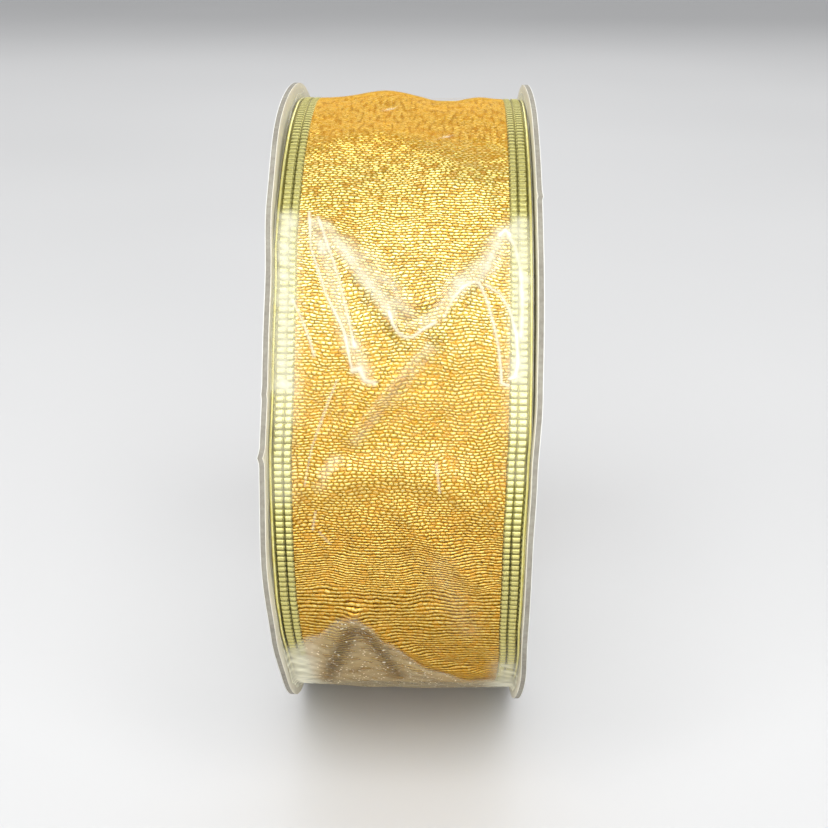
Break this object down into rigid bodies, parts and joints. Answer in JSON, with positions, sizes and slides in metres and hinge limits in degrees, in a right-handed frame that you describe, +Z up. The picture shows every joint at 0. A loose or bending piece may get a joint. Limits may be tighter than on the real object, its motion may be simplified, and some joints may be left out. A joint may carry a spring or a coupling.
{
  "type": "ribbon spool",
  "caption": "Board-flanged spool holding a wound strip of gold mesh ribbon with ribbed wire edges, wrapped in clear film; it stands on its rims and turns on a rod.",
  "frame": {"origin": "centre of the spindle bore, midway between the two flanges", "axes": "+X along the spool's axle towards the right flange as seen from the front, -Y towards the front, +Z up; the spool stands on its rims at -Z"},
  "size_m": [0.0406, 0.11, 0.11],
  "materials": {
    "board": "matte",
    "outer_facing": "satin",
    "inner_facing": "matte",
    "core": "matte",
    "core_ply": "matte",
    "glue": "gloss",
    "tape": "matte",
    "mesh": "metallic",
    "selvage": "metallic",
    "wire": "gloss",
    "film": "gloss"
  },
  "bodies": {
    "spool": {"left_board": "board", "right_board": "board", "left_outer_facing": "outer_facing", "right_outer_facing": "outer_facing", "left_inner_facing": "inner_facing", "right_inner_facing": "inner_facing", "core_tube": "core", "core_ply": "core_ply", "left_glue_bead": "glue", "right_glue_bead": "glue", "start_tape": "tape", "winding_web": "mesh", "winding_selvage_left": "selvage", "winding_selvage_right": "selvage", "winding_wire_left": "wire", "winding_wire_right": "wire", "outer_turn_web": "mesh", "outer_turn_selvage_left": "selvage", "outer_turn_selvage_right": "selvage", "outer_turn_wire_left": "wire", "outer_turn_wire_right": "wire", "film_wrap": "film"},
    "film_flap": {"film_flap": "film"},
    "ribbon_tail": {"tail_web": "mesh", "tail_selvage_left": "selvage", "tail_selvage_right": "selvage", "tail_wire_left": "wire", "tail_wire_right": "wire"}
  },
  "joints": [
    {"name": "film_flap_peel", "type": "hinge", "parent": "spool", "child": "film_flap", "pos_m": [0, 0.04108, 0.03447], "axis": [1, 0, 0], "range_deg": [0, 100]},
    {"name": "ribbon_tail_lift", "type": "hinge", "parent": "spool", "child": "ribbon_tail", "pos_m": [0, 0.04553, 0.02628], "axis": [1, 0, 0], "range_deg": [0, 80]}
  ],
  "couplings": [
    {"joint": "ribbon_tail_lift", "follows": "film_flap_peel", "ratio": 0.8}
  ]
}
